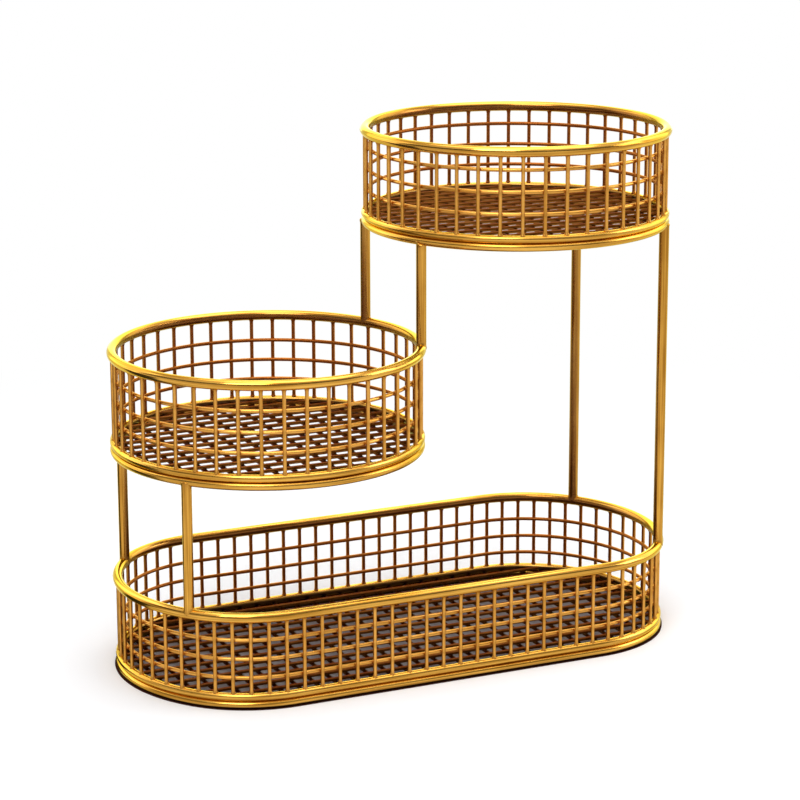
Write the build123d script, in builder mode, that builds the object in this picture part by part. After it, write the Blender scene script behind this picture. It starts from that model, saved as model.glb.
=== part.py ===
from build123d import *
import os
from dataclasses import dataclass
from math import cos, radians, sin, sqrt, tan

# A free-standing fruit stand of three wire baskets, all of brass-coloured steel rod.
# A long basket stands on the table. One round basket is carried over its left end and a
# higher one over its right end, on six upright posts. X runs along the long basket,
# towards the highest basket, Y runs to the back and Z is up from the table.

# Driving dimensions in plan, in millimetres and degrees
ring_radius = 120.0  # from a round basket's centre to the middle of its rim
tier_overlap = 12.0  # how far each round basket's ring reaches past the stand's middle
corner_step = 30.0  # how much tighter the long basket's corners are than its ends
post_angle = 37.0  # between the X axis and the outer posts, seen from a round basket's centre

# Rod and wire, all measured across the flats of their sections
rim_diameter = 8.0
bead_diameter = 6.2
wire_diameter = 3.0
post_diameter = 8.0

# Heights above the table, and of each wall between its base band and its rim
middle_base_height = 173.0
top_base_height = 335.0
lower_wall_height = 56.0
middle_wall_height = 64.0
top_wall_height = 60.0

# Where the three hoops of each wall stand, as shares of the wall's height
lower_hoop_shares = (0.20, 0.465, 0.735)
middle_hoop_shares = (0.24, 0.49, 0.745)
top_hoop_shares = (0.26, 0.545, 0.83)

# How many uprights each stretch of wall has
round_upright_count = 44
end_upright_count = 10
corner_upright_count = 6
side_upright_count = 18

# The floors' wires
floor_pitch = 15.2
floor_margin = 10.0  # least distance of the outermost wires from the ring's middle line

# Where the plans' centres lie, worked out from the sizes above
tier_offset = ring_radius - tier_overlap
corner_radius = ring_radius - corner_step
corner_x = tier_offset + corner_step * cos(radians(post_angle))
corner_y = corner_step * sin(radians(post_angle))
side_y = corner_radius + corner_y
end_reach = tier_offset + ring_radius

# Sides of each section: the rims and posts, the base beads and straight wires, the hoops
bar_sides = 8
wire_sides = 6
hoop_sides = 4


@dataclass(frozen=True)
class Station:
    """A place on a basket's plan where an upright stands.

    Args:
        x: Place along X.
        y: Place along Y.
        angle: Direction that the wall faces there, in degrees from +X.
    """

    x: float
    y: float
    angle: float


@dataclass(frozen=True)
class Basket:
    """One tier of the stand.

    Args:
        name: First word of its pieces' names.
        centre_x: Middle of the basket along X.
        half_length: From its middle to the ring's middle line along X.
        half_width: The same along Y.
        stations: Where its uprights stand, in order round the plan.
        base_height: Underside of its base band above the table.
        wall_height: From the base band to the rim's underside.
        hoop_shares: Heights of its hoops, as shares of the wall's height.
    """

    name: str
    centre_x: float
    half_length: float
    half_width: float
    stations: list
    base_height: float
    wall_height: float
    hoop_shares: tuple

    @property
    def band_top(self):
        """Top of the two stacked base beads."""
        return self.base_height + 2 * bead_diameter

    @property
    def rim_height(self):
        """Middle line of the rim."""
        return self.band_top + self.wall_height + rim_diameter / 2


def arc_stations(centre_x, centre_y, radius, start, end, count):
    """Stations in the middle of equal steps along an arc."""
    step = (end - start) / count
    angles = [start + (index + 0.5) * step for index in range(count)]
    return [
        Station(
            centre_x + radius * cos(radians(angle)),
            centre_y + radius * sin(radians(angle)),
            angle,
        )
        for angle in angles
    ]


def side_stations(start_x, y, angle, count):
    """Stations in the middle of equal steps along a straight side, from start_x to -start_x."""
    step = -2 * start_x / count
    return [Station(start_x + (index + 0.5) * step, y, angle) for index in range(count)]


def round_plan(centre_x):
    """Plan of a round basket, with an upright on each side where it crosses the X axis."""
    half_step = 180 / round_upright_count
    return arc_stations(centre_x, 0, ring_radius, -half_step, 360 - half_step, round_upright_count)


def long_plan():
    """Plan of the long basket.

    Its ends follow the round baskets out to the posts. Tighter arcs, which start there with
    the same direction, lead into the straight sides.
    """
    turn = post_angle
    ends, corners, sides = end_upright_count, corner_upright_count, side_upright_count
    stations = arc_stations(tier_offset, 0, ring_radius, -turn, turn, ends)
    stations += arc_stations(corner_x, corner_y, corner_radius, turn, 90, corners)
    stations += side_stations(corner_x, side_y, 90, sides)
    stations += arc_stations(-corner_x, corner_y, corner_radius, 90, 180 - turn, corners)
    stations += arc_stations(-tier_offset, 0, ring_radius, 180 - turn, 180 + turn, ends)
    stations += arc_stations(-corner_x, -corner_y, corner_radius, 180 + turn, 270, corners)
    stations += side_stations(-corner_x, -side_y, 270, sides)
    stations += arc_stations(corner_x, -corner_y, corner_radius, 270, 360 - turn, corners)
    return stations


def flat_corners(stations, inset):
    """Corners of the many-sided ring that has a flat behind each upright.

    The rings are bent in short flats, one to an upright, so that every upright is seated on
    a flat face. A straight side is one flat. Each corner is where two flats' lines meet.

    Args:
        stations: The plan's stations.
        inset: How far the ring lies inside the plan.
    """
    flats = []
    for station in stations:
        if not flats or flats[-1].angle != station.angle:
            flats.append(station)
    corners = []
    for here, after in zip(flats, flats[1:] + flats[:1]):
        a, b = radians(here.angle), radians(after.angle)
        reach_a = here.x * cos(a) + here.y * sin(a) - inset
        reach_b = after.x * cos(b) + after.y * sin(b) - inset
        x = (reach_a * sin(b) - reach_b * sin(a)) / sin(b - a)
        y = (reach_b * cos(a) - reach_a * cos(b)) / sin(b - a)
        corners.append((x, y))
    return corners


def make_ring(stations, height, inset, across, sides):
    """A closed ring: a regular section with flats above and below, swept round the plan.

    Args:
        stations: The plan's stations.
        height: Height of the ring's middle line.
        inset: How far that line lies inside the plan.
        across: Size of the section across its flats.
        sides: How many sides the section has.
    """
    start = stations[0]
    outwards = Vector(cos(radians(start.angle)), sin(radians(start.angle)), 0)
    along = Vector(-outwards.Y, outwards.X, 0)
    origin = Vector(start.x, start.y, height) - outwards * inset
    with BuildPart() as ring:
        with BuildLine(Plane.XY.offset(height)):
            Polyline(*flat_corners(stations, inset), close=True)
        with BuildSketch(Plane(origin=origin, x_dir=outwards, z_dir=along)):
            RegularPolygon(across / 2, sides, major_radius=False, rotation=90 - 180 / sides)
        sweep(transition=Transition.RIGHT)
    return ring


def spread(half_span, pitch):
    """Places a pitch apart on both sides of zero, as many as lie within half_span."""
    steps = int(half_span / pitch)
    return [index * pitch for index in range(-steps, steps + 1)]


def floor_space(stations, height, inset):
    """The space inside a base band that a layer of floor wires at this height fills."""
    with BuildPart() as space:
        with BuildSketch(Plane.XY.offset(height)):
            with BuildLine():
                Polyline(*flat_corners(stations, inset), close=True)
            make_face()
        extrude(amount=wire_diameter, both=True)
    return space.part


def save(piece, name):
    """Label a finished piece and write it to its own file."""
    piece.part.label = name
    export_step(piece.part, f"parts/{name}.step")


os.makedirs("parts", exist_ok=True)

baskets = (
    Basket(
        "lower",
        0,
        end_reach,
        side_y,
        long_plan(),
        0,
        lower_wall_height,
        lower_hoop_shares,
    ),
    Basket(
        "middle",
        -tier_offset,
        ring_radius,
        ring_radius,
        round_plan(-tier_offset),
        middle_base_height,
        middle_wall_height,
        middle_hoop_shares,
    ),
    Basket(
        "top",
        tier_offset,
        ring_radius,
        ring_radius,
        round_plan(tier_offset),
        top_base_height,
        top_wall_height,
        top_hoop_shares,
    ),
)

# How far a bead's inner ridge stands from its middle line
ridge_inset = bead_diameter / sqrt(3)
# The same for a wire's end where it lies in the groove between the two beads
groove_inset = ridge_inset / 2 * (1 + wire_diameter / bead_diameter)

rims = {}
for basket in baskets:
    rim = make_ring(basket.stations, basket.rim_height, 0, rim_diameter, bar_sides)
    save(rim, f"{basket.name}_rim")
    rims[basket.name] = rim

    bead_height = basket.base_height + bead_diameter / 2
    for place in ("lower", "upper"):
        bead = make_ring(basket.stations, bead_height, 0, bead_diameter, wire_sides)
        save(bead, f"{basket.name}_base_{place}_bead")
        bead_height += bead_diameter

    for place, share in zip(("low", "mid", "high"), basket.hoop_shares):
        height = basket.band_top + share * basket.wall_height
        hoop = make_ring(basket.stations, height, wire_diameter, wire_diameter, hoop_sides)
        save(hoop, f"{basket.name}_{place}_hoop")

    # The uprights stand on the upper bead, outside the hoops, and end under the rim
    with BuildPart() as uprights:
        with BuildSketch(Plane.XY.offset(basket.band_top)):
            with Locations(*[Location((s.x, s.y, 0), (0, 0, s.angle)) for s in basket.stations]):
                RegularPolygon(
                    wire_diameter / 2, wire_sides, major_radius=False, rotation=180 / wire_sides
                )
        extrude(amount=basket.wall_height)
    save(uprights, f"{basket.name}_wall_uprights")

    # The cross wires end in the groove between the two beads
    cross_height = basket.base_height + bead_diameter
    cross_space = floor_space(basket.stations, cross_height, groove_inset)
    with BuildPart() as cross_wires:
        with BuildSketch(Plane.XZ.offset(-basket.half_width)):
            columns = spread(basket.half_length - floor_margin, floor_pitch)
            with Locations(*[(basket.centre_x + x, cross_height) for x in columns]):
                RegularPolygon(wire_diameter / 2, wire_sides, major_radius=False)
        extrude(amount=2 * basket.half_width)
        add(cross_space, mode=Mode.INTERSECT)
    save(cross_wires, f"{basket.name}_floor_cross_wires")

    # The long wires lie on the cross wires and end at the upper bead's ridge
    long_height = cross_height + wire_diameter
    long_space = floor_space(basket.stations, long_height, ridge_inset)
    with BuildPart() as long_wires:
        with BuildSketch(Plane.YZ.offset(basket.centre_x - basket.half_length)):
            rows = spread(basket.half_width - floor_margin, floor_pitch)
            with Locations(*[(y, long_height) for y in rows]):
                RegularPolygon(wire_diameter / 2, wire_sides, major_radius=False)
        extrude(amount=2 * basket.half_length)
        add(long_space, mode=Mode.INTERSECT)
    save(long_wires, f"{basket.name}_floor_long_wires")

# The posts stand on a rim, with their feet cut to its shape, and end under a base band.
# The outer ones follow the round baskets' rings, and the centre ones stand where the two
# rings cross, seen from above.
lower, middle, top = baskets
outer_x = tier_offset + ring_radius * cos(radians(post_angle))
outer_y = ring_radius * sin(radians(post_angle))
crossing_y = sqrt(ring_radius**2 - tier_offset**2)
shoulder = rim_diameter / 2 * tan(radians(180 / bar_sides))
posts = (
    ("left_back_post", -outer_x, outer_y, lower, middle),
    ("left_front_post", -outer_x, -outer_y, lower, middle),
    ("centre_back_post", 0, crossing_y, middle, top),
    ("centre_front_post", 0, -crossing_y, middle, top),
    ("right_back_post", outer_x, outer_y, lower, top),
    ("right_front_post", outer_x, -outer_y, lower, top),
)
for name, x, y, carrier, carried in posts:
    foot_height = carrier.rim_height + shoulder
    with BuildPart() as post:
        with BuildSketch(Plane.XY.offset(foot_height)):
            with Locations((x, y)):
                RegularPolygon(post_diameter / 2, bar_sides, major_radius=False)
        extrude(amount=carried.base_height - foot_height)
        add(rims[carrier.name].part, mode=Mode.SUBTRACT)
    save(post, name)
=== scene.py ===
"""Looks of a three-tier wire fruit stand, in polished brass-coloured rod and wire.

Every piece of the frame is replaced by the round rod or wire that it stands for, on the same
lines and at the same height. Sizes come from the frame, in metres.
"""

import logging
import math
from dataclasses import dataclass, field
from enum import Enum
from typing import Callable, Iterable, Optional, Union

import bpy
from mathutils import Matrix, Vector

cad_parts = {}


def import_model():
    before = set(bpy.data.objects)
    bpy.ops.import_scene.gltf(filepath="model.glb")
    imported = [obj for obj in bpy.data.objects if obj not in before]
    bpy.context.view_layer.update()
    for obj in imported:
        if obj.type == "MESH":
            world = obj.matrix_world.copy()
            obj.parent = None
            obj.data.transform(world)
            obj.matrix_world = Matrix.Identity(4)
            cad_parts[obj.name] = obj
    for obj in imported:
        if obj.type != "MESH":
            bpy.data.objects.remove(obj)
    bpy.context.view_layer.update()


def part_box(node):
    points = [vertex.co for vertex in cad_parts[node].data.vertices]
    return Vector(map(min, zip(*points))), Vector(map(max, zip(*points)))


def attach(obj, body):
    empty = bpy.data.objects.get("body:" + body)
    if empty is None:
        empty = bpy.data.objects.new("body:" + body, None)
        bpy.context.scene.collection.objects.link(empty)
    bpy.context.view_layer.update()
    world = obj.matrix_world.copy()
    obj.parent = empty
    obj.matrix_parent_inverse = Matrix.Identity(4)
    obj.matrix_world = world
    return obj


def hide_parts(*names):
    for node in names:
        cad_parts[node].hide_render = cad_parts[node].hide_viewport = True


LOG = logging.getLogger("fruit_stand")
MM = 0.001
HOOPS = ("low", "mid", "high")


class Tier(Enum):
    """The three baskets, by the first word of their nodes' names."""

    LOWER = "lower"
    MIDDLE = "middle"
    TOP = "top"


class Grain(Enum):
    """Which way the fine marks of drawing and polishing run on a rod."""

    ROUND = "round the plan"
    UPRIGHT = "up and down"
    LENGTHWAYS = "along X"
    CROSSWAYS = "along Y"


# Shader maths


class Shade:
    """A shader socket that can be used in expressions."""

    def __init__(self, graph: "Graph", socket: bpy.types.NodeSocket) -> None:
        """Wrap a socket.

        Args:
            graph: The graph that new nodes are added to.
            socket: The output that is wrapped.
        """
        self.graph = graph
        self.socket = socket

    def _maths(self, operation: str, first: "Value", second: "Value") -> "Shade":
        """Add one Math node and return its result."""
        return self.graph.node("ShaderNodeMath", {"operation": operation}, {0: first, 1: second})

    def __add__(self, other: "Value") -> "Shade":
        """Return the sum."""
        return self._maths("ADD", self, other)

    def __radd__(self, other: "Value") -> "Shade":
        """Return the sum, with the number first."""
        return self._maths("ADD", other, self)

    def __sub__(self, other: "Value") -> "Shade":
        """Return the difference."""
        return self._maths("SUBTRACT", self, other)

    def __rsub__(self, other: "Value") -> "Shade":
        """Return the difference, with the number first."""
        return self._maths("SUBTRACT", other, self)

    def __mul__(self, other: "Value") -> "Shade":
        """Return the product."""
        return self._maths("MULTIPLY", self, other)

    def __rmul__(self, other: "Value") -> "Shade":
        """Return the product, with the number first."""
        return self._maths("MULTIPLY", other, self)

    def at_most(self, other: "Value") -> "Shade":
        """Return the smaller of the two."""
        return self._maths("MINIMUM", self, other)

    def at_least(self, other: "Value") -> "Shade":
        """Return the larger of the two."""
        return self._maths("MAXIMUM", self, other)


Value = Union[Shade, float, int, tuple]


class Graph:
    """The node tree of one material or world."""

    def __init__(self, tree: bpy.types.NodeTree) -> None:
        """Empty the tree and keep it.

        Args:
            tree: The node tree that is filled.
        """
        self.tree = tree
        tree.nodes.clear()

    def node(
        self,
        kind: str,
        settings: Optional[dict] = None,
        inputs: Optional[dict] = None,
        output: Union[str, int] = 0,
    ) -> Shade:
        """Add a node.

        Args:
            kind: Type of the node.
            settings: Its own settings, which are set first.
            inputs: Values or links of its sockets, by name or number.
            output: The output that is returned.

        Returns:
            The chosen output, or the first one.
        """
        made = self.tree.nodes.new(kind)
        for name, value in (settings or {}).items():
            setattr(made, name, value)
        for name, value in (inputs or {}).items():
            if isinstance(value, Shade):
                self.tree.links.new(value.socket, made.inputs[name])
            else:
                made.inputs[name].default_value = value
        return Shade(self, made.outputs[output] if made.outputs else None)

    def mix(self, share: Value, first: Value, second: Value) -> Shade:
        """Mix two colours.

        Args:
            share: How much of the second colour there is.
            first: Colour at a share of 0.
            second: Colour at a share of 1.

        Returns:
            The mixed colour.
        """
        return self.node(
            "ShaderNodeMix", {"data_type": "RGBA"}, {0: share, 6: first, 7: second}, output=2
        )


def new_material(name: str) -> tuple[bpy.types.Material, Graph]:
    """Make a material with an empty graph.

    Args:
        name: Its name.

    Returns:
        The material and its graph.
    """
    material = bpy.data.materials.new(name)
    material.use_nodes = True
    return material, Graph(material.node_tree)


@dataclass(frozen=True)
class BrassFinish:
    """Polished brass plating on drawn rod.

    Args:
        name: Name of the material.
        light: Colour of clean plating.
        deep: Colour where the plating is thicker and warmer.
        tint: Colour left by the heat of a weld.
        painted_shade_colour: Colour of painted shade, laid over inner faces, undersides and floor wires
            where shade falls.
        painted_shade_strength: How much of the painted shade colour a face under full painted shade
            shows.
        roughness: How soft the reflections are.
        grain: Which way the drawing marks run.
        marks: Strength of the drawing marks.
        streaks: How clearly the drawing marks show in the colour.
        lacquer: How much clear lacquer lies on the plating.
        edge: Tint of what the plating mirrors at a shallow angle.
        cloud_scale: How close together the warm patches lie.
        smear_scale: How close together the smears of polish lie.
        weld_colour: How much of the weld's tint shows where its heat was greatest.
        weld_rough: How much softer the reflections are there.
        painted_shade_rough: How much softer the reflections are on a face under full painted shade.
    """

    name: str
    light: tuple = (0.80, 0.43, 0.072, 1.0)
    deep: tuple = (0.42, 0.185, 0.014, 1.0)
    tint: tuple = (0.40, 0.17, 0.022, 1.0)
    painted_shade_colour: tuple = (0.24, 0.065, 0.014, 1.0)
    painted_shade_strength: float = 0.8
    roughness: float = 0.10
    grain: Grain = Grain.ROUND
    marks: float = 0.05
    streaks: float = 3.0
    lacquer: float = 0.2
    edge: tuple = (1.0, 1.0, 0.35, 1.0)
    cloud_scale: float = 26.0
    smear_scale: float = 140.0
    weld_colour: float = 0.5
    weld_rough: float = 0.14
    painted_shade_rough: float = 0.08

    def stretch(self) -> tuple:
        """Work out how close the drawing marks lie.

        Returns:
            Their scales along X, Y and Z.
        """
        close, long = 700.0, 10.0
        return {
            Grain.ROUND: (long, long, close),
            Grain.UPRIGHT: (close, close, long),
            Grain.LENGTHWAYS: (long, close, close),
            Grain.CROSSWAYS: (close, long, close),
        }[self.grain]

    def make(self) -> bpy.types.Material:
        """Make the material.

        Returns:
            The new material.
        """
        material, graph = new_material(self.name)
        place = graph.node("ShaderNodeTexCoord", output="Object")
        clouds = graph.node(
            "ShaderNodeTexNoise", {}, {"Vector": place, "Scale": self.cloud_scale, "Detail": 3.0}
        )
        smears = graph.node(
            "ShaderNodeTexNoise",
            {},
            {"Vector": place, "Scale": self.smear_scale, "Detail": 4.0, "Roughness": 0.6},
        )
        drawn = graph.node("ShaderNodeMapping", {}, {"Vector": place, "Scale": self.stretch()})
        lines = graph.node("ShaderNodeTexNoise", {}, {"Vector": drawn, "Scale": 1.0, "Detail": 2.0})
        weld = graph.node("ShaderNodeAttribute", {"attribute_name": "weld"}, output="Fac")
        # This attribute carries painted shade, from 0 to 1 at each corner.
        painted_shade = graph.node("ShaderNodeAttribute", {"attribute_name": "painted_shade"}, output="Fac")

        warmth = (clouds + lines * self.streaks - 0.5 * self.streaks).at_least(0.0).at_most(1.0)
        plating = graph.mix(warmth, self.light, self.deep)
        heated = graph.mix(weld * self.weld_colour * (0.6 + smears * 0.8), plating, self.tint)
        # Painted shade: a dark colour mixed over the plating and weld colours where the shade share is
        # high.
        colour = graph.mix(painted_shade * self.painted_shade_strength * (0.85 + smears * 0.3), heated, self.painted_shade_colour)
        worn = smears * 0.05 + lines * 0.04
        rough = self.roughness + worn + weld * self.weld_rough + painted_shade * self.painted_shade_rough
        bumps = graph.node(
            "ShaderNodeBump",
            {},
            {"Height": lines * 0.7 + smears * 0.6, "Strength": self.marks, "Distance": 0.05 * MM},
            output="Normal",
        )
        surface = graph.node(
            "ShaderNodeBsdfPrincipled",
            {},
            {
                "Base Color": colour, "Metallic": 1.0, "Roughness": rough, "Normal": bumps,
                "Coat Weight": self.lacquer, "Coat Roughness": 0.1, "Specular Tint": self.edge,
            },
        )
        graph.node("ShaderNodeOutputMaterial", {}, {"Surface": surface})
        return material


def add_mesh(name: str, points: list, faces: list, finish: bpy.types.Material) -> bpy.types.Object:
    """Add an object with a new mesh to the scene.

    Args:
        name: Its name.
        points: Its corners.
        faces: Its faces.
        finish: Its material.

    Returns:
        The new object.
    """
    mesh = bpy.data.meshes.new(name)
    mesh.from_pydata(points, [], faces)
    mesh.materials.append(finish)
    piece = bpy.data.objects.new(name, mesh)
    bpy.context.collection.objects.link(piece)
    return piece


# Plans


@dataclass(frozen=True)
class Spot:
    """A place on a plan.

    Args:
        x: Place along X.
        y: Place along Y.
        angle: Direction that the wall faces there, in radians.
    """

    x: float
    y: float
    angle: float

    def moved_in(self, inset: float, height: float) -> Vector:
        """Find the point at a height, this far inside the plan.

        Args:
            inset: How far inside it lies.
            height: Its height.

        Returns:
            The point.
        """
        x = self.x - inset * math.cos(self.angle)
        y = self.y - inset * math.sin(self.angle)
        return Vector((x, y, height))

    def outwards(self) -> Vector:
        """Return the level direction that the wall faces."""
        return Vector((math.cos(self.angle), math.sin(self.angle), 0.0))


@dataclass(frozen=True)
class Arc:
    """One arc of a plan.

    Args:
        x: Centre along X.
        y: Centre along Y.
        radius: Radius of the middle line.
        start: Where it starts, in radians.
        end: Where it ends, in radians.
        uprights: How many uprights stand on it.
    """

    x: float
    y: float
    radius: float
    start: float
    end: float
    uprights: int

    def spots(self, count: int) -> list[Spot]:
        """Step along the arc.

        Args:
            count: How many equal steps there are.

        Returns:
            The middles of the steps.
        """
        step = (self.end - self.start) / count
        angles = [self.start + (index + 0.5) * step for index in range(count)]
        return [
            Spot(self.x + self.radius * math.cos(a), self.y + self.radius * math.sin(a), a)
            for a in angles
        ]

    def length(self) -> float:
        """Return the arc's length."""
        return self.radius * (self.end - self.start)


@dataclass(frozen=True)
class Side:
    """One straight side of a plan.

    Args:
        x: Where it starts along X. It ends at the opposite place.
        y: Place along Y.
        angle: Direction that it faces, in radians.
        uprights: How many uprights stand on it.
    """

    x: float
    y: float
    angle: float
    uprights: int

    def spots(self, count: int) -> list[Spot]:
        """Return the middles of equal steps along the side."""
        step = -2 * self.x / count
        return [Spot(self.x + (index + 0.5) * step, self.y, self.angle) for index in range(count)]

    def length(self) -> float:
        """Return the side's length."""
        return abs(2 * self.x)


@dataclass(frozen=True)
class Plan:
    """Outline of a basket seen from above, along the middle line of its rim.

    Args:
        pieces: Its arcs and straight sides, in order.
    """

    pieces: tuple

    def uprights(self) -> list[Spot]:
        """Return where the uprights stand."""
        return [spot for piece in self.pieces for spot in piece.spots(piece.uprights)]

    def line(self, spacing: float) -> list[Spot]:
        """Return spots all round the plan.

        Args:
            spacing: About how far apart they are.

        Returns:
            The spots, in order.
        """
        spots: list[Spot] = []
        for piece in self.pieces:
            spots += piece.spots(max(1, round(piece.length() / spacing)))
        return spots

    def reach(self, along: int, place: float, inset: float) -> float:
        """Find how far a floor wire runs from the plan's centre.

        Args:
            along: 0 for a wire along X, 1 for a wire along Y.
            place: Where the wire lies on the other axis, from the plan's centre.
            inset: How far inside the plan it ends.

        Returns:
            The distance from the centre to its end.
        """
        centres = [piece.x for piece in self.pieces if isinstance(piece, Arc)]
        middle = sum(centres) / len(centres)
        ends = []
        for piece in self.pieces:
            if isinstance(piece, Side):
                if along == 1 and abs(place) <= abs(piece.x):
                    ends.append(abs(piece.y) - inset)
                continue
            centre = (piece.x - middle, piece.y)
            across = place - centre[1 - along]
            radius = piece.radius - inset
            if abs(across) < radius:
                end = centre[along] + math.sqrt(radius**2 - across**2)
                x, y = (end, place) if along == 0 else (place, end)
                angle = math.atan2(y - centre[1], x - centre[0]) % math.tau
                if any(piece.start <= angle + turn <= piece.end for turn in (-math.tau, 0.0, math.tau)):
                    ends.append(end)
        return max(ends)


# Rod and wire meshes


def level_rod(node: str) -> tuple[float, float]:
    """Read a level rod or ring from the frame.

    Args:
        node: Its node.

    Returns:
        The height of its middle line and its radius.
    """
    low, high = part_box(node)
    return (low.z + high.z) / 2, (high.z - low.z) / 2


@dataclass
class RodMesh:
    """Collects rods, wires and welds into one mesh.

    Args:
        points: Corners so far.
        faces: Faces so far.
        welds: For each corner, how near to a weld it is, from 0 to 1.
    """

    points: list = field(default_factory=list)
    faces: list = field(default_factory=list)
    welds: list = field(default_factory=list)

    def add_loops(self, loops: list, heat: Iterable[float], closed: bool) -> None:
        """Join loops of points into a tube.

        Args:
            loops: Loops of equal numbers of points, in order.
            heat: Weld share of each loop.
            closed: True if the last loop joins the first. Otherwise both ends are capped.
        """
        first, sides, count = len(self.points), len(loops[0]), len(loops)
        for loop, share in zip(loops, heat):
            self.points += [tuple(point) for point in loop]
            self.welds += [share] * sides
        for row in range(count if closed else count - 1):
            here, after = first + row * sides, first + (row + 1) % count * sides
            for side in range(sides):
                other = (side + 1) % sides
                self.faces.append((here + side, here + other, after + other, after + side))
        if not closed:
            last = first + (count - 1) * sides
            self.faces.append(tuple(first + side for side in reversed(range(sides))))
            self.faces.append(tuple(last + side for side in range(sides)))

    def add_ring(
        self, plan: Plan, inset: float, height: float, radius: float, sides: int, spacing: float,
        heat: Callable[[Spot], float] = lambda spot: 0.0,
    ) -> None:
        """Add a closed ring of round rod that follows a plan.

        Args:
            plan: The basket's plan.
            inset: How far inside the plan its middle line lies.
            height: Height of its middle line.
            radius: Radius of the rod.
            sides: How many sides its section has.
            spacing: About how far apart its sections are.
            heat: Weld share at a spot of the plan.
        """
        spots, up = plan.line(spacing), Vector((0, 0, 1))
        turns = [-math.tau * side / sides for side in range(sides)]
        loops = []
        for spot in spots:
            centre, out = spot.moved_in(inset, height), spot.outwards()
            loops.append([centre + (out * math.cos(t) + up * math.sin(t)) * radius for t in turns])
        self.add_loops(loops, [heat(spot) for spot in spots], closed=True)

    def add_rod(self, start: Vector, end: Vector, stations: list, sides: int) -> None:
        """Add a straight round rod.

        Args:
            start: One end of its middle line.
            end: The other end.
            stations: Triples of share of its length, radius and weld share.
            sides: How many sides its section has.
        """
        along = (end - start).normalized()
        level = along.orthogonal().normalized()
        other = along.cross(level)
        turns = [math.tau * side / sides for side in range(sides)]
        loops = []
        for share, radius, _ in stations:
            centre = start.lerp(end, share)
            loops.append([centre + (level * math.cos(t) + other * math.sin(t)) * radius for t in turns])
        self.add_loops(loops, [heat for _, _, heat in stations], closed=False)

    def add_nugget(
        self, centre: Vector, axis: Vector, length: float, radius: float, steps: int = 6, sides: int = 8
    ) -> None:
        """Add the metal of a spot weld between two crossing wires.

        Args:
            centre: Where the two wires meet.
            axis: Direction from one wire to the other.
            length: Its half size along that direction.
            radius: Its half size across it.
            steps: Steps that its length is drawn in.
            sides: Sides of its section.
        """
        level = Vector((-axis.y, axis.x, 0.0)).normalized() if abs(axis.z) < 0.9 else Vector((1, 0, 0))
        other = axis.cross(level)
        ring = [math.tau * side / sides for side in range(sides)]
        loops = []
        for step in range(1, steps):
            turn = math.pi * step / steps
            middle = centre - axis * (length * math.cos(turn))
            size = radius * math.sin(turn)
            loops.append([middle + (level * math.cos(t) + other * math.sin(t)) * size for t in ring])
        self.add_loops(loops, [1.0] * len(loops), closed=False)

    def finish(
        self, node: str, finish: bpy.types.Material, slot: str,
        painted_shade: Callable[[Vector, Vector], float], ending: str = "rod",
    ) -> bpy.types.Object:
        """Make the object, give it its finish and let it stand for its node.

        Args:
            node: The frame's node that it replaces.
            finish: Its material.
            slot: The record's material slot. It is not used.
            painted_shade: How much painted shade a point gets, from its place and the direction that it
                faces.
            ending: What its name adds to the node's.

        Returns:
            The new object.
        """
        piece = add_mesh(f"{node}_{ending}", self.points, self.faces, finish)
        mesh = piece.data
        # Share of painted shade at each corner, stored as a mesh attribute.
        shares = [min(1.0, max(0.0, painted_shade(point.co, point.normal))) for point in mesh.vertices]
        mesh.attributes.new("weld", "FLOAT", "POINT").data.foreach_set("value", self.welds)
        mesh.attributes.new("painted_shade", "FLOAT", "POINT").data.foreach_set("value", shares)
        mesh.shade_smooth()
        mesh.validate()
        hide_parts(node)
        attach(piece, "root")
        return piece


# The stand


@dataclass(frozen=True)
class Finishes:
    """The stand's materials, one for each way that its rods run.

    Args:
        rim: Rims.
        base: Base beads.
        post: Posts.
        hoop: Hoops.
        upright: Upright wires.
        cross: Floor wires along Y.
        long: Floor wires along X.
    """

    rim: bpy.types.Material
    base: bpy.types.Material
    post: bpy.types.Material
    hoop: bpy.types.Material
    upright: bpy.types.Material
    cross: bpy.types.Material
    long: bpy.types.Material

    @classmethod
    def make(cls) -> "Finishes":
        """Make all of the materials.

        Returns:
            The set of them.
        """
        # The dark shade colours below are painted shade, strongest on the floor wires.
        wire = {
            "light": (0.76, 0.385, 0.080, 1.0),
            "deep": (0.55, 0.25, 0.038, 1.0),
            "painted_shade_colour": (0.19, 0.030, 0.003, 1.0),
            "roughness": 0.26,
            "painted_shade_strength": 0.85,
            "lacquer": 0.05,
            "edge": (1.0, 0.85, 0.5, 1.0),
        }
        floor = wire | {"painted_shade_strength": 0.94, "edge": (0.40, 0.26, 0.18, 1.0)}
        cross = floor | {"painted_shade_colour": (0.034, 0.007, 0.002, 1.0)}
        long = floor | {"painted_shade_colour": (0.10, 0.024, 0.003, 1.0)}
        slim = {
            "light": (0.72, 0.37, 0.055, 1.0),
            "deep": (0.36, 0.15, 0.010, 1.0),
            "painted_shade_colour": (0.10, 0.022, 0.005, 1.0),
            "marks": 0.08,
        }
        band = {"painted_shade_colour": (0.05, 0.014, 0.005, 1.0), "painted_shade_strength": 0.9, "roughness": 0.18}
        return cls(
            rim=BrassFinish("rim_brass", grain=Grain.ROUND, painted_shade_colour=(0.13, 0.026, 0.004, 1.0)).make(),
            base=BrassFinish("base_brass", grain=Grain.ROUND, **band).make(),
            post=BrassFinish("post_brass", grain=Grain.UPRIGHT, **slim).make(),
            hoop=BrassFinish("hoop_brass", grain=Grain.ROUND, **wire).make(),
            upright=BrassFinish("upright_brass", grain=Grain.UPRIGHT, **wire).make(),
            cross=BrassFinish("cross_wire_brass", grain=Grain.CROSSWAYS, **cross).make(),
            long=BrassFinish("long_wire_brass", grain=Grain.LENGTHWAYS, **long).make(),
        )


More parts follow.
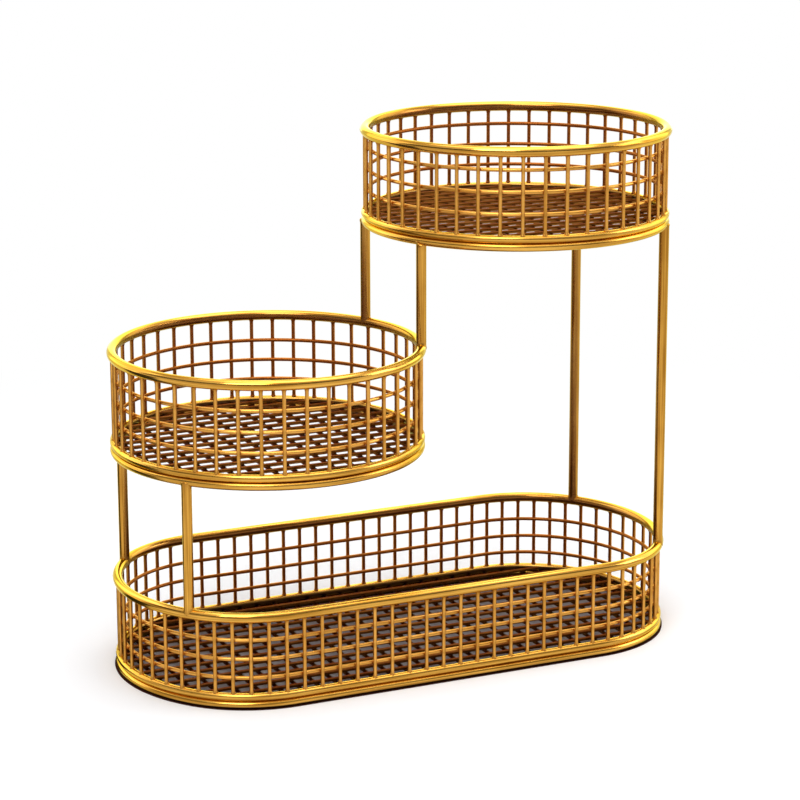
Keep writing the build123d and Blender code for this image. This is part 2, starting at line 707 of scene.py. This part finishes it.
@dataclass(frozen=True)
class StandSizes:
    """Sizes of the stand's plan, read from the frame.

    Args:
        ring_radius: Radius of a round basket's middle line.
        tier_offset: How far each round basket is from the stand's middle.
        side_y: Middle line of the long basket's straight sides.
        corner_step: How much tighter the long basket's corners are than its ends.
        post_angle: Angle of the outer posts about a round basket's centre, in radians.
        wire: Diameter of the wires.
    """

    ring_radius: float
    tier_offset: float
    side_y: float
    corner_step: float
    post_angle: float
    wire: float

    @classmethod
    def read(cls) -> "StandSizes":
        """Read the sizes from the frame's boxes.

        Returns:
            The sizes.
        """
        low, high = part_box("top_rim")
        rod = high.z - low.z
        radius = (high.y - low.y - rod) / 2
        offset = (high.x + low.x) / 2
        long_low, long_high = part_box("lower_rim")
        side = (long_high.y - long_low.y - rod) / 2
        post_low, post_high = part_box("right_back_post")
        post = (post_low + post_high) / 2
        angle = math.atan2(post.y, post.x - offset)
        return cls(
            ring_radius=radius,
            tier_offset=offset,
            side_y=side,
            corner_step=(radius - side) / (1 - math.sin(angle)),
            post_angle=angle,
            wire=2 * level_rod("top_low_hoop")[1],
        )

    def round_plan(self, centre_x: float, uprights: int) -> Plan:
        """Return a round basket's plan, with an upright where it crosses the X axis."""
        half = math.pi / uprights
        return Plan((Arc(centre_x, 0.0, self.ring_radius, -half, math.tau - half, uprights),))

    def long_plan(self, ends: int, corners: int, sides: int) -> Plan:
        """Return the long basket's plan.

        Args:
            ends: Uprights on each end.
            corners: Uprights on each corner.
            sides: Uprights on each straight side.

        Returns:
            The plan.
        """
        turn, tier, radius = self.post_angle, self.tier_offset, self.ring_radius
        x = tier + self.corner_step * math.cos(turn)
        y = self.corner_step * math.sin(turn)
        tight = radius - self.corner_step
        quarter, half = math.pi / 2, math.pi
        return Plan(
            (
                Arc(tier, 0.0, radius, -turn, turn, ends),
                Arc(x, y, tight, turn, quarter, corners),
                Side(x, self.side_y, quarter, sides),
                Arc(-x, y, tight, quarter, half - turn, corners),
                Arc(-tier, 0.0, radius, half - turn, half + turn, ends),
                Arc(-x, -y, tight, half + turn, 3 * quarter, corners),
                Side(-x, -self.side_y, 3 * quarter, sides),
                Arc(x, -y, tight, 3 * quarter, math.tau - turn, corners),
            )
        )


@dataclass
class WireBasket:
    """One basket: rim, base beads, hoops, uprights and floor.

    Args:
        tier: Which basket it is.
        plan: Its outline.
        centre_x: Its middle along X.
        wire: Diameter of its wires.
        feet: Spots where posts stand on its rim.
        finishes: The stand's materials.
        rows: Floor wires along X.
        columns: Floor wires along Y.
        spacing: About how far apart the sections of its rings are.
        rim_sides: Sides of the rim's section.
        bead_sides: The same for the base beads.
        hoop_sides: The same for the hoops.
        wire_sides: The same for the straight wires.
        weld_reach: How far round its post a weld's heat shows on the rim.
        upright_marks: At an upright's ends, triples of distance, swell and weld share.
        hoop_marks: At a hoop's welds, pairs of distance and weld share.
        floor_marks: At a floor wire's ends, pairs of share of the heated length and weld share.
        floor_heat: Heated length of a floor wire's end.
        wall_nugget: Half length and radius of the welds between uprights and hoops.
        floor_nugget: Half length and radius of the welds between floor wires.
        cross_inset: How far inside the plan the floor wires along Y end.
        long_inset: The same for those along X.
        sink: How far the uprights reach into the band and the rim.
    """

    tier: Tier
    plan: Plan
    centre_x: float
    wire: float
    feet: list
    finishes: Finishes
    rows: int
    columns: int
    spacing: float = 3.5 * MM
    rim_sides: int = 28
    bead_sides: int = 24
    hoop_sides: int = 14
    wire_sides: int = 12
    weld_reach: float = 12.0 * MM
    upright_marks: tuple = (
        (0.0, 1.45, 1.0), (0.7 * MM, 1.30, 1.0), (1.3 * MM, 1.08, 0.8), (2.4 * MM, 1.0, 0.4),
        (4.5 * MM, 1.0, 0.0),
    )
    hoop_marks: tuple = (
        (-3.5 * MM, 0.0), (-1.5 * MM, 0.45), (0.0, 0.8), (1.5 * MM, 0.45), (3.5 * MM, 0.0)
    )
    floor_marks: tuple = ((0.0, 1.0), (0.25, 1.0), (0.5, 0.5), (1.0, 0.0))
    floor_heat: float = 6.0 * MM
    wall_nugget: tuple = (1.1 * MM, 1.25 * MM)
    floor_nugget: tuple = (0.9 * MM, 1.15 * MM)
    cross_inset: float = 1.6 * MM
    long_inset: float = 1.2 * MM
    sink: float = 0.5 * MM

    def node(self, part: str) -> str:
        """Return the name of one of this basket's nodes."""
        return f"{self.tier.value}_{part}"

    def outwards(self, point: Vector) -> Vector:
        """Find which way the wall faces near a point.

        Args:
            point: The point.

        Returns:
            The level direction.
        """
        middles = [piece.x for piece in self.plan.pieces if isinstance(piece, Arc)]
        middle = min(max(middles), max(min(middles), point.x))
        return Vector((point.x - middle, point.y, 0.0)).normalized()

    def rod_painted_shade(self, point: Vector, facing: Vector) -> float:
        """Return how much painted shade a point of the rim or the band gets.

        Args:
            point: Its place.
            facing: The direction that its surface faces.

        Returns:
            0 for outer and upper faces, up to 1 for painted shade on inner faces and a painted contact
            shadow under what lies on the table.
        """
        inwards, upwards, steep, downwards = 1.5, 1.2, 0.15, 4.5
        # Painted shade on the inner faces.
        inner = -facing.dot(self.outwards(point)) * inwards - max(0.0, facing.z) * upwards
        # Painted contact shadow on the underside of the lowest bead, near the table.
        resting = (-facing.z - steep) * downwards if point.z < self.wire else 0.0
        return max(inner, resting)

    def wire_painted_shade(self, point: Vector, facing: Vector) -> float:
        """Return how much painted shade a point of a hoop or an upright gets, which is most on its
        inner side.
        """
        level, inwards = 0.05, 1.6
        return level - inwards * facing.dot(self.outwards(point))

    def floor_painted_shade(self, point: Vector, facing: Vector) -> float:
        """Return how much painted shade a point of a floor wire gets, which is most of all on top."""
        level, upwards = 0.92, 0.3
        return level + upwards * facing.z

    def build(self) -> list[bpy.types.Object]:
        """Build all of the basket's pieces.

        Returns:
            The new objects.
        """
        rings = [("rim", 0.0, self.rim_sides, self.finishes.rim, "rim_rod")]
        for part in ("base_lower_bead", "base_upper_bead"):
            rings.append((part, 0.0, self.bead_sides, self.finishes.base, "base_rod"))
        for place in HOOPS:
            rings.append((f"{place}_hoop", self.wire, self.hoop_sides, self.finishes.hoop, "wire"))
        pieces = [self.build_ring(*ring) for ring in rings]
        return pieces + [self.build_uprights(), self.build_cross_wires(), self.build_long_wires()]

    def build_ring(
        self, part: str, inset: float, sides: int, finish: bpy.types.Material, slot: str
    ) -> bpy.types.Object:
        """Build a ring from its node's height and thickness.

        Args:
            part: The node's name without the basket's.
            inset: How far inside the plan its middle line lies.
            sides: Sides of its section.
            finish: Its material.
            slot: The record's material slot.

        Returns:
            The new object.
        """
        height, radius = level_rod(self.node(part))
        rod = RodMesh()
        posts = [Vector((spot.x, spot.y)) for spot in self.feet] if part == "rim" else []

        def heat(spot: Spot) -> float:
            """Return how strongly a post's weld shows at a spot of the rim."""
            gaps = [(Vector((spot.x, spot.y)) - post).length for post in posts]
            return max([0.0] + [1.0 - gap / self.weld_reach for gap in gaps])

        rod.add_ring(self.plan, inset, height, radius, sides, self.spacing, heat)
        # Hoops get the wires' painted shade, rims and beads the rods' painted shade.
        painted_shade = self.wire_painted_shade if slot == "wire" else self.rod_painted_shade
        return rod.finish(self.node(part), finish, slot, painted_shade)

    def build_uprights(self) -> bpy.types.Object:
        """Build the uprights, with their welds to the band, the hoops and the rim.

        Returns:
            The new object.
        """
        low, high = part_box(self.node("wall_uprights"))
        bottom, top = low.z - self.sink, high.z + self.sink
        height, radius = top - bottom, self.wire / 2
        hoops = [level_rod(self.node(f"{place}_hoop"))[0] for place in HOOPS]
        ends = [(gap / height, radius * swell, heat) for gap, swell, heat in self.upright_marks]
        stations = list(ends)
        for hoop in hoops:
            for gap, heat in self.hoop_marks:
                stations.append(((hoop - bottom + gap) / height, radius, heat))
        stations += [(1 - share, size, heat) for share, size, heat in reversed(ends)]
        wires = RodMesh()
        for spot in self.plan.uprights():
            wires.add_rod(spot.moved_in(0, bottom), spot.moved_in(0, top), stations, self.wire_sides)
            for hoop in hoops:
                wires.add_nugget(spot.moved_in(radius, hoop), spot.outwards(), *self.wall_nugget)
        return wires.finish(
            self.node("wall_uprights"), self.finishes.upright, "wire", self.wire_painted_shade, "wire"
        )

    def floor_places(self, count: int, part: str, axis: int) -> list[float]:
        """Return where the floor wires of one layer lie, from the basket's centre.

        Args:
            count: How many there are.
            part: The layer's node, without the basket's name.
            axis: Axis that they are spread along.

        Returns:
            The places.
        """
        low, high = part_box(self.node(part))
        # The solids' wires have six sides, and are widest across two of their edges.
        width = 2 / math.sqrt(3) * self.wire
        pitch = (high[axis] - low[axis] - width) / (count - 1)
        return [(index - (count - 1) / 2) * pitch for index in range(count)]

    def build_layer(self, part: str, along: int, count: int, inset: float) -> RodMesh:
        """Lay one layer of floor wires.

        Args:
            part: The layer's node, without the basket's name.
            along: Axis that the wires run along.
            count: How many there are.
            inset: How far inside the plan they end.

        Returns:
            The mesh, not yet made into an object.
        """
        height, radius = level_rod(self.node(part))[0], self.wire / 2
        layer = RodMesh()
        for place in self.floor_places(count, part, 1 - along):
            reach = self.plan.reach(along, place, inset)
            ends = [Vector((0, 0, height)), Vector((0, 0, height))]
            for end, sign in zip(ends, (-1, 1)):
                end[along] = sign * reach
                end[1 - along] = place
                end.x += self.centre_x
            near = self.floor_heat / reach
            stations = [(near * share, radius, heat) for share, heat in self.floor_marks]
            stations += [(1 - share, size, heat) for share, size, heat in reversed(stations)]
            layer.add_rod(*ends, stations, self.wire_sides)
        return layer

    def build_cross_wires(self) -> bpy.types.Object:
        """Build the floor wires along Y, which end in the groove between the beads.

        Returns:
            The new object.
        """
        part = "floor_cross_wires"
        layer = self.build_layer(part, 1, self.columns, self.cross_inset)
        return layer.finish(self.node(part), self.finishes.cross, "wire", self.floor_painted_shade)

    def build_long_wires(self) -> bpy.types.Object:
        """Build the floor wires along X, which lie on the cross wires.

        Returns:
            The new object.
        """
        part = "floor_long_wires"
        layer = self.build_layer(part, 0, self.rows, self.long_inset)
        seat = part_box(self.node(part))[0].z
        columns = self.floor_places(self.columns, "floor_cross_wires", 0)
        for row in self.floor_places(self.rows, part, 1):
            reach = self.plan.reach(0, row, self.wire)
            for column in columns:
                if abs(column) < reach:
                    spot = Vector((self.centre_x + column, row, seat))
                    layer.add_nugget(spot, Vector((0, 0, 1)), *self.floor_nugget)
        return layer.finish(self.node(part), self.finishes.long, "wire", self.floor_painted_shade)


@dataclass
class Post:
    """A post that stands on a rim and carries a base band.

    Args:
        name: Its node's name.
        spot: Where it stands on the rim that carries it.
        rim: The rim's node.
        carried: The lower bead's node of the basket that it carries.
        finish: Its material.
        sides: Sides of its section.
        marks: At each end, triples of distance from the rod, swell and weld share.
        cover: How much of a rod's half width the post's wall can lie over.
    """

    name: str
    spot: Spot
    rim: str
    carried: str
    finish: bpy.types.Material
    sides: int = 32
    marks: tuple = (
        (-0.9 * MM, 1.0, 1.0), (0.05 * MM, 1.1, 1.0), (0.45 * MM, 1.055, 1.0), (0.9 * MM, 1.01, 0.8),
        (2.4 * MM, 1.0, 0.3), (5.0 * MM, 1.0, 0.0),
    )
    cover: float = 0.995

    def loop(self, node: str, radius: float, gap: float, way: int) -> list[Vector]:
        """Draw a loop round the post's wall, near a rod that it is welded to.

        The loop follows the rod's back where it touches it, and is flat at the last mark.

        Args:
            node: The rod's node.
            radius: Radius of the wall there.
            gap: Distance from the rod.
            way: 1 over the rod, -1 under it.

        Returns:
            The points.
        """
        height, rod = level_rod(node)
        centre, out = self.spot.moved_in(0.0, 0.0), self.spot.outwards()
        side = Vector((-out.y, out.x, 0.0))
        flat = min(1.0, max(0.0, gap) / self.marks[-1][0])
        points = []
        for index in range(self.sides):
            turn = math.tau * index / self.sides
            x, y = radius * math.cos(turn), radius * math.sin(turn)
            seat = math.sqrt(rod**2 - min(abs(x), rod * self.cover) ** 2)
            rise = height + way * (seat + (rod - seat) * flat + gap)
            points.append(centre + out * x + side * y + Vector((0, 0, rise)))
        return points

    def build(self) -> bpy.types.Object:
        """Build the post, with both ends cut to their rods and a weld round each.

        Returns:
            The new object.
        """
        radius = level_rod(self.rim)[1]
        ends = ((self.rim, 1, self.marks), (self.carried, -1, tuple(reversed(self.marks))))
        loops, heat = [], []
        for node, way, marks in ends:
            for gap, swell, share in marks:
                loops.append(self.loop(node, radius * swell, gap, way))
                heat.append(share)
        rod = RodMesh()
        rod.add_loops(loops, heat, closed=False)
        low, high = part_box(self.name)
        out = self.spot.outwards()
        steep, inwards, fading = 0.12, 1.5, 0.45

        # Painted shade on the post's inner side, fading upwards.
        def painted_shade(point: Vector, facing: Vector) -> float:
            """Return how much painted shade a point gets, which is most on the inner side near the
            foot.
            """
            rise = (point.z - low.z) / (high.z - low.z)
            return (-facing.dot(out) - steep) * inwards * (1.0 - fading * rise)

        return rod.finish(self.name, self.finish, "post_rod", painted_shade)


@dataclass
class FruitStand:
    """The whole stand.

    Args:
        sizes: Sizes of its plan.
        finishes: Its materials.
        round_uprights: Uprights of a round basket.
        end_uprights: Uprights on each end of the long basket.
        corner_uprights: Uprights on each of its corners.
        side_uprights: Uprights on each of its straight sides.
        round_floor: Floor wires of a round basket, each way.
        long_rows: Floor wires of the long basket along X.
        long_columns: Floor wires of the long basket along Y.
    """

    sizes: StandSizes
    finishes: Finishes
    round_uprights: int = 44
    end_uprights: int = 10
    corner_uprights: int = 6
    side_uprights: int = 18
    round_floor: int = 15
    long_rows: int = 13
    long_columns: int = 29

    def post_spots(self) -> dict[str, Spot]:
        """Find where each post stands and the direction that its rim faces there.

        Returns:
            The places, by the posts' names.
        """
        offset = self.sizes.tier_offset
        spots = {}
        for place, centre in (("left", -offset), ("centre", -offset), ("right", offset)):
            for name in (f"{place}_back_post", f"{place}_front_post"):
                low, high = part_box(name)
                middle = (low + high) / 2
                spots[name] = Spot(middle.x, middle.y, math.atan2(middle.y, middle.x - centre))
        return spots

    def footprint(self) -> Plan:
        """Return the long basket's plan, on which the whole stand rests."""
        return self.sizes.long_plan(self.end_uprights, self.corner_uprights, self.side_uprights)

    def baskets(self) -> list[WireBasket]:
        """Describe the three baskets.

        Returns:
            The baskets, ready to build.
        """
        spots = self.post_spots()
        outer = [spot for name, spot in spots.items() if not name.startswith("centre")]
        inner = [spot for name, spot in spots.items() if name.startswith("centre")]
        offset, wire, finishes = self.sizes.tier_offset, self.sizes.wire, self.finishes
        rows, columns = self.long_rows, self.long_columns
        baskets = [
            WireBasket(Tier.LOWER, self.footprint(), 0.0, wire, outer, finishes, rows, columns)
        ]
        for tier, centre, feet in ((Tier.MIDDLE, -offset, inner), (Tier.TOP, offset, [])):
            plan, count = self.sizes.round_plan(centre, self.round_uprights), self.round_floor
            baskets.append(WireBasket(tier, plan, centre, wire, feet, finishes, count, count))
        return baskets

    def posts(self) -> list[Post]:
        """Describe the six posts.

        Returns:
            The posts, ready to build.
        """
        posts = []
        for name, spot in self.post_spots().items():
            rim = "middle_rim" if name.startswith("centre") else "lower_rim"
            carried = "middle" if name.startswith("left") else "top"
            posts.append(Post(name, spot, rim, f"{carried}_base_lower_bead", self.finishes.post))
        return posts

    def build(self) -> None:
        """Build every piece and report it."""
        pieces = [piece for basket in self.baskets() for piece in basket.build()]
        pieces += [post.build() for post in self.posts()]
        for piece in pieces:
            corners, faces = len(piece.data.vertices), len(piece.data.polygons)
            LOG.info("%s: %d corners, %d faces", piece.name, corners, faces)
        LOG.info("%d pieces in all", len(pieces))


# The studio


def plain_material(name: str, colour: tuple) -> bpy.types.Material:
    """Make a matt material of one colour.

    Args:
        name: Its name.
        colour: Its colour.

    Returns:
        The new material.
    """
    material, graph = new_material(name)
    paint = graph.node("ShaderNodeBsdfDiffuse", {}, {"Color": colour})
    graph.node("ShaderNodeOutputMaterial", {}, {"Surface": paint})
    return material


@dataclass(frozen=True)
class View:
    """The camera.

    Args:
        aim: Point that it looks at.
        distance: How far away it is.
        azimuth: Its direction from behind the front, in degrees.
        elevation: How far it looks down, in degrees.
        roll: Its tilt, in degrees.
        lens: Focal length, in millimetres.
        sensor: Width of its sensor, in millimetres.
        sight: How far it sees.
    """

    aim: Vector = Vector((0.00501, -0.00234, 0.20017))
    distance: float = 2.23015
    azimuth: float = 25.0137
    elevation: float = 14.2702
    roll: float = -0.129
    lens: float = 125.921
    sensor: float = 36.0
    sight: float = 60.0

    def place(self) -> bpy.types.Object:
        """Make the camera and let the scene use it.

        Returns:
            The camera.
        """
        data = bpy.data.cameras.new("camera")
        data.sensor_width = self.sensor
        data.lens = self.lens
        data.clip_end = self.sight
        camera = bpy.data.objects.new("camera", data)
        bpy.context.collection.objects.link(camera)
        azimuth, elevation = math.radians(self.azimuth), math.radians(self.elevation)
        level = Vector((math.sin(azimuth), math.cos(azimuth), 0.0)) * math.cos(elevation)
        forward = level - Vector((0.0, 0.0, math.sin(elevation)))
        turn = forward.to_track_quat("-Z", "Y").to_matrix().to_4x4()
        spin = Matrix.Rotation(math.radians(self.roll), 4, "Z")
        camera.matrix_world = Matrix.Translation(self.aim - forward * self.distance) @ turn @ spin
        bpy.context.scene.camera = camera
        return camera


@dataclass(frozen=True)
class SoftLamp:
    """A square soft light that faces the stand.

    Args:
        name: Its name.
        place: Where it is.
        size: Length of its side.
        power: Its power in watts.
        mirrored_only: True if it shows in the metal and leaves the floor as it is.
        target: What it faces, near the stand's middle.
    """

    name: str
    place: tuple
    size: float
    power: float
    mirrored_only: bool = False
    target: tuple = (0.0, 0.0, 0.2)

    def hang(self) -> bpy.types.Object:
        """Make the lamp and turn it to the stand.

        Returns:
            The lamp.
        """
        data = bpy.data.lights.new(self.name, "AREA")
        data.shape = "SQUARE"
        data.size = self.size
        data.energy = self.power
        lamp = bpy.data.objects.new(self.name, data)
        bpy.context.collection.objects.link(lamp)
        lamp.location = self.place
        lamp.rotation_euler = (Vector(self.target) - lamp.location).to_track_quat("-Z", "Y").to_euler()
        lamp.visible_diffuse = not self.mirrored_only
        return lamp


@dataclass(frozen=True)
class Card:
    """An upright curved card that stands round part of the stage.

    Args:
        radius: How far from the stage's middle it stands.
        start: Where it starts, in degrees from the X axis.
        end: Where it ends.
        low: Height of its lower edge.
        high: Height of its upper edge.
        grey: Its tone.
        steps: Flats that it is made of.
    """

    radius: float = 3.4
    start: float = 130.0
    end: float = 360.0
    low: float = 0.8
    high: float = 2.6
    grey: float = 0.30
    steps: int = 46


@dataclass(frozen=True)
class Shadow:
    """A painted shadow: a dark flat sheet on the floor, of the same shape as the stand's base.

    Args:
        name: Its name.
        colour: Its colour.
        beyond: How far it reaches past the base.
        height: How high it lies over the floor.
    """

    name: str
    colour: tuple
    beyond: float
    height: float


@dataclass
class Studio:
    """Pale floor with painted shadows, white surroundings, a grey card and soft lamps.

    Args:
        foot: Plan of what rests on the floor.
        view: The camera.
        lamps: The soft lamps.
        fill: Strength of the light from the surroundings.
        floor_size: Half the floor's side.
        floor_colour: The floor's colour near the stand.
        white_from: Distance from the stand's middle at which the floor starts to turn white.
        white_rate: How fast it turns white from there, as a share for each metre.
        card: The grey card that the metal mirrors.
        mirrored: How white the floor near the stand is in the metal's mirror image.
        dark_side: Middle of the sector that the metal mirrors as dark, in degrees from the X axis.
        dark_spread: How far that sector reaches to each side of its middle, in degrees.
        dark_tip: Where that sector starts.
        dark_edge: How sharp that sector's edges are.
        dark_depth: How dark it is.
        shades: The painted shadows on the floor, from the lowest up.
        shade_spacing: About how far apart the corners of their outlines are.
    """

    foot: Plan
    view: View = View()
    lamps: tuple = (
        SoftLamp("key_lamp", (-1.3, -1.5, 2.3), 1.3, 32.0),
        SoftLamp("top_lamp", (0.2, 0.0, 2.6), 2.4, 46.0),
        SoftLamp("side_lamp", (2.2, -0.9, 1.3), 1.0, 14.0),
        SoftLamp("back_left_lamp", (-1.38, 1.97, 1.15), 2.2, 23.0, mirrored_only=True),
        SoftLamp("back_lamp", (1.01, 2.18, 1.15), 2.2, 23.0, mirrored_only=True),
        SoftLamp("back_right_lamp", (2.39, 0.21, 1.15), 2.2, 23.0, mirrored_only=True),
    )
    fill: float = 0.42
    floor_size: float = 14.0
    floor_colour: tuple = (0.92, 0.935, 0.955, 1.0)
    white_from: float = 0.38
    white_rate: float = 1.6
    card: Card = Card()
    mirrored: float = 0.55
    dark_side: float = 148.0
    dark_spread: float = 21.6
    dark_tip: tuple = (-0.15, 0.0, 0.0)
    dark_edge: float = 25.0
    dark_depth: float = 0.95
    # Painted shadows: a near-black sheet under the base, and over it a grey sheet that leaves a dark
    # line at the edge.
    shades: tuple = (
        Shadow("contact_shade", (0.055, 0.018, 0.014, 1.0), 0.3 * MM, 0.1 * MM),
        Shadow("soft_shade", (0.27, 0.245, 0.24, 1.0), -6.0 * MM, 0.2 * MM),
    )
    shade_spacing: float = 4.0 * MM

    def seen(self, graph: Graph) -> Shade:
        """Tell the rays that see the white surroundings from those that they light.

        Args:
            graph: The graph that asks.

        Returns:
            1 for camera, mirror and glass rays, and 0 for the rest.
        """
        rays = [
            graph.node("ShaderNodeLightPath", output=name)
            for name in ("Is Camera Ray", "Is Glossy Ray", "Is Transmission Ray")
        ]
        return (rays[0] + rays[1] + rays[2]).at_most(1.0)

    def light_world(self) -> None:
        """Give the scene white surroundings that light it at a plain level."""
        world = bpy.data.worlds.new("surroundings")
        world.use_nodes = True
        graph = Graph(world.node_tree)
        strength = self.fill + self.seen(graph) * (1.0 - self.fill)
        shine = graph.node("ShaderNodeBackground", {}, {"Color": (1, 1, 1, 1), "Strength": strength})
        graph.node("ShaderNodeOutputWorld", {}, {"Surface": shine})
        bpy.context.scene.world = world

    def lay_floor(self) -> None:
        """Lay a pale floor that turns as white as the surroundings further out."""
        material, graph = new_material("pale_floor")
        place = graph.node("ShaderNodeTexCoord", output="Object")
        away = graph.node("ShaderNodeVectorMath", {"operation": "LENGTH"}, {0: place}, output="Value")
        far = ((away - self.white_from) * self.white_rate).at_least(0.0).at_most(1.0)
        mirrored = graph.node("ShaderNodeLightPath", output="Is Glossy Ray") * self.mirrored
        paper = graph.node("ShaderNodeBsdfDiffuse", {}, {"Color": self.floor_colour})
        glow = graph.node("ShaderNodeEmission", {}, {"Color": (1, 1, 1, 1), "Strength": 1.0})
        white = (far * self.seen(graph)).at_least(mirrored)
        both = graph.node("ShaderNodeMixShader", {}, {0: white, 1: paper, 2: glow})
        dark = graph.node("ShaderNodeEmission", {}, {"Color": (0, 0, 0, 1), "Strength": 0.0})
        whole = graph.node(
            "ShaderNodeMixShader", {}, {0: self.mirrored_dark(graph, place), 1: both, 2: dark}
        )
        graph.node("ShaderNodeOutputMaterial", {}, {"Surface": whole})
        size = self.floor_size
        corners = [(-size, -size, 0), (size, -size, 0), (size, size, 0), (-size, size, 0)]
        add_mesh("pale_floor", corners, [(0, 1, 2, 3)], material)

    def mirrored_dark(self, graph: Graph, place: Shade) -> Shade:
        """Make the share of dark in the floor's mirror image.

        A polished rod mirrors the unlit side of the room as a dark streak beside its brightest
        edge. That side is a sector of the floor, which only mirror rays see.

        Args:
            graph: The floor's graph.
            place: The place on the floor.

        Returns:
            The share, which is 0 for all other rays.
        """
        turn = math.radians(self.dark_side)
        side = (math.cos(turn), math.sin(turn), 0.0)
        offset = graph.node(
            "ShaderNodeVectorMath", {"operation": "SUBTRACT"}, {0: place, 1: self.dark_tip}
        )
        heading = graph.node("ShaderNodeVectorMath", {"operation": "NORMALIZE"}, {0: offset})
        towards = graph.node(
            "ShaderNodeVectorMath", {"operation": "DOT_PRODUCT"}, {0: heading, 1: side}, output="Value"
        )
        edge = math.cos(math.radians(self.dark_spread))
        share = ((towards - edge) * self.dark_edge).at_least(0.0).at_most(1.0)
        return share * graph.node("ShaderNodeLightPath", output="Is Glossy Ray") * self.dark_depth

    def lay_shade(self, shade: Shadow) -> None:
        """Lay a painted shadow on the floor.

        Args:
            shade: What it is like.
        """
        spots = self.foot.line(self.shade_spacing)
        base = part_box("lower_base_lower_bead")[1].x - max(spot.x for spot in spots)
        outline = [spot.moved_in(-base - shade.beyond, shade.height) for spot in spots]
        face = tuple(range(len(outline)))
        paint = plain_material(shade.name, shade.colour)
        add_mesh(shade.name, outline, [face], paint)

    def stand_card(self) -> None:
        """Stand a curved grey card round the stage, which only the metal's mirror image shows."""
        card = self.card
        material = plain_material("grey_card", (card.grey, card.grey, card.grey, 1.0))
        points, faces = [], []
        for step in range(card.steps + 1):
            turn = math.radians(card.start + (card.end - card.start) * step / card.steps)
            for height in (card.low, card.high):
                points.append((card.radius * math.cos(turn), card.radius * math.sin(turn), height))
            if step:
                faces.append((2 * step - 2, 2 * step, 2 * step + 1, 2 * step - 1))
        piece = add_mesh("grey_card", points, faces, material)
        piece.visible_camera = False
        piece.visible_diffuse = False
        piece.visible_shadow = False

    def build(self) -> None:
        """Build the studio."""
        bpy.context.scene.view_settings.view_transform = "Standard"
        self.light_world()
        self.lay_floor()
        for shade in self.shades:
            self.lay_shade(shade)
        self.stand_card()
        for lamp in self.lamps:
            lamp.hang()
        self.view.place()


def main() -> None:
    """Build the stand and the studio."""
    logging.basicConfig(level=logging.INFO, format="%(message)s")
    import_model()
    stand = FruitStand(StandSizes.read(), Finishes.make())
    stand.build()
    Studio(stand.footprint()).build()


if __name__ == "__main__":
    main()
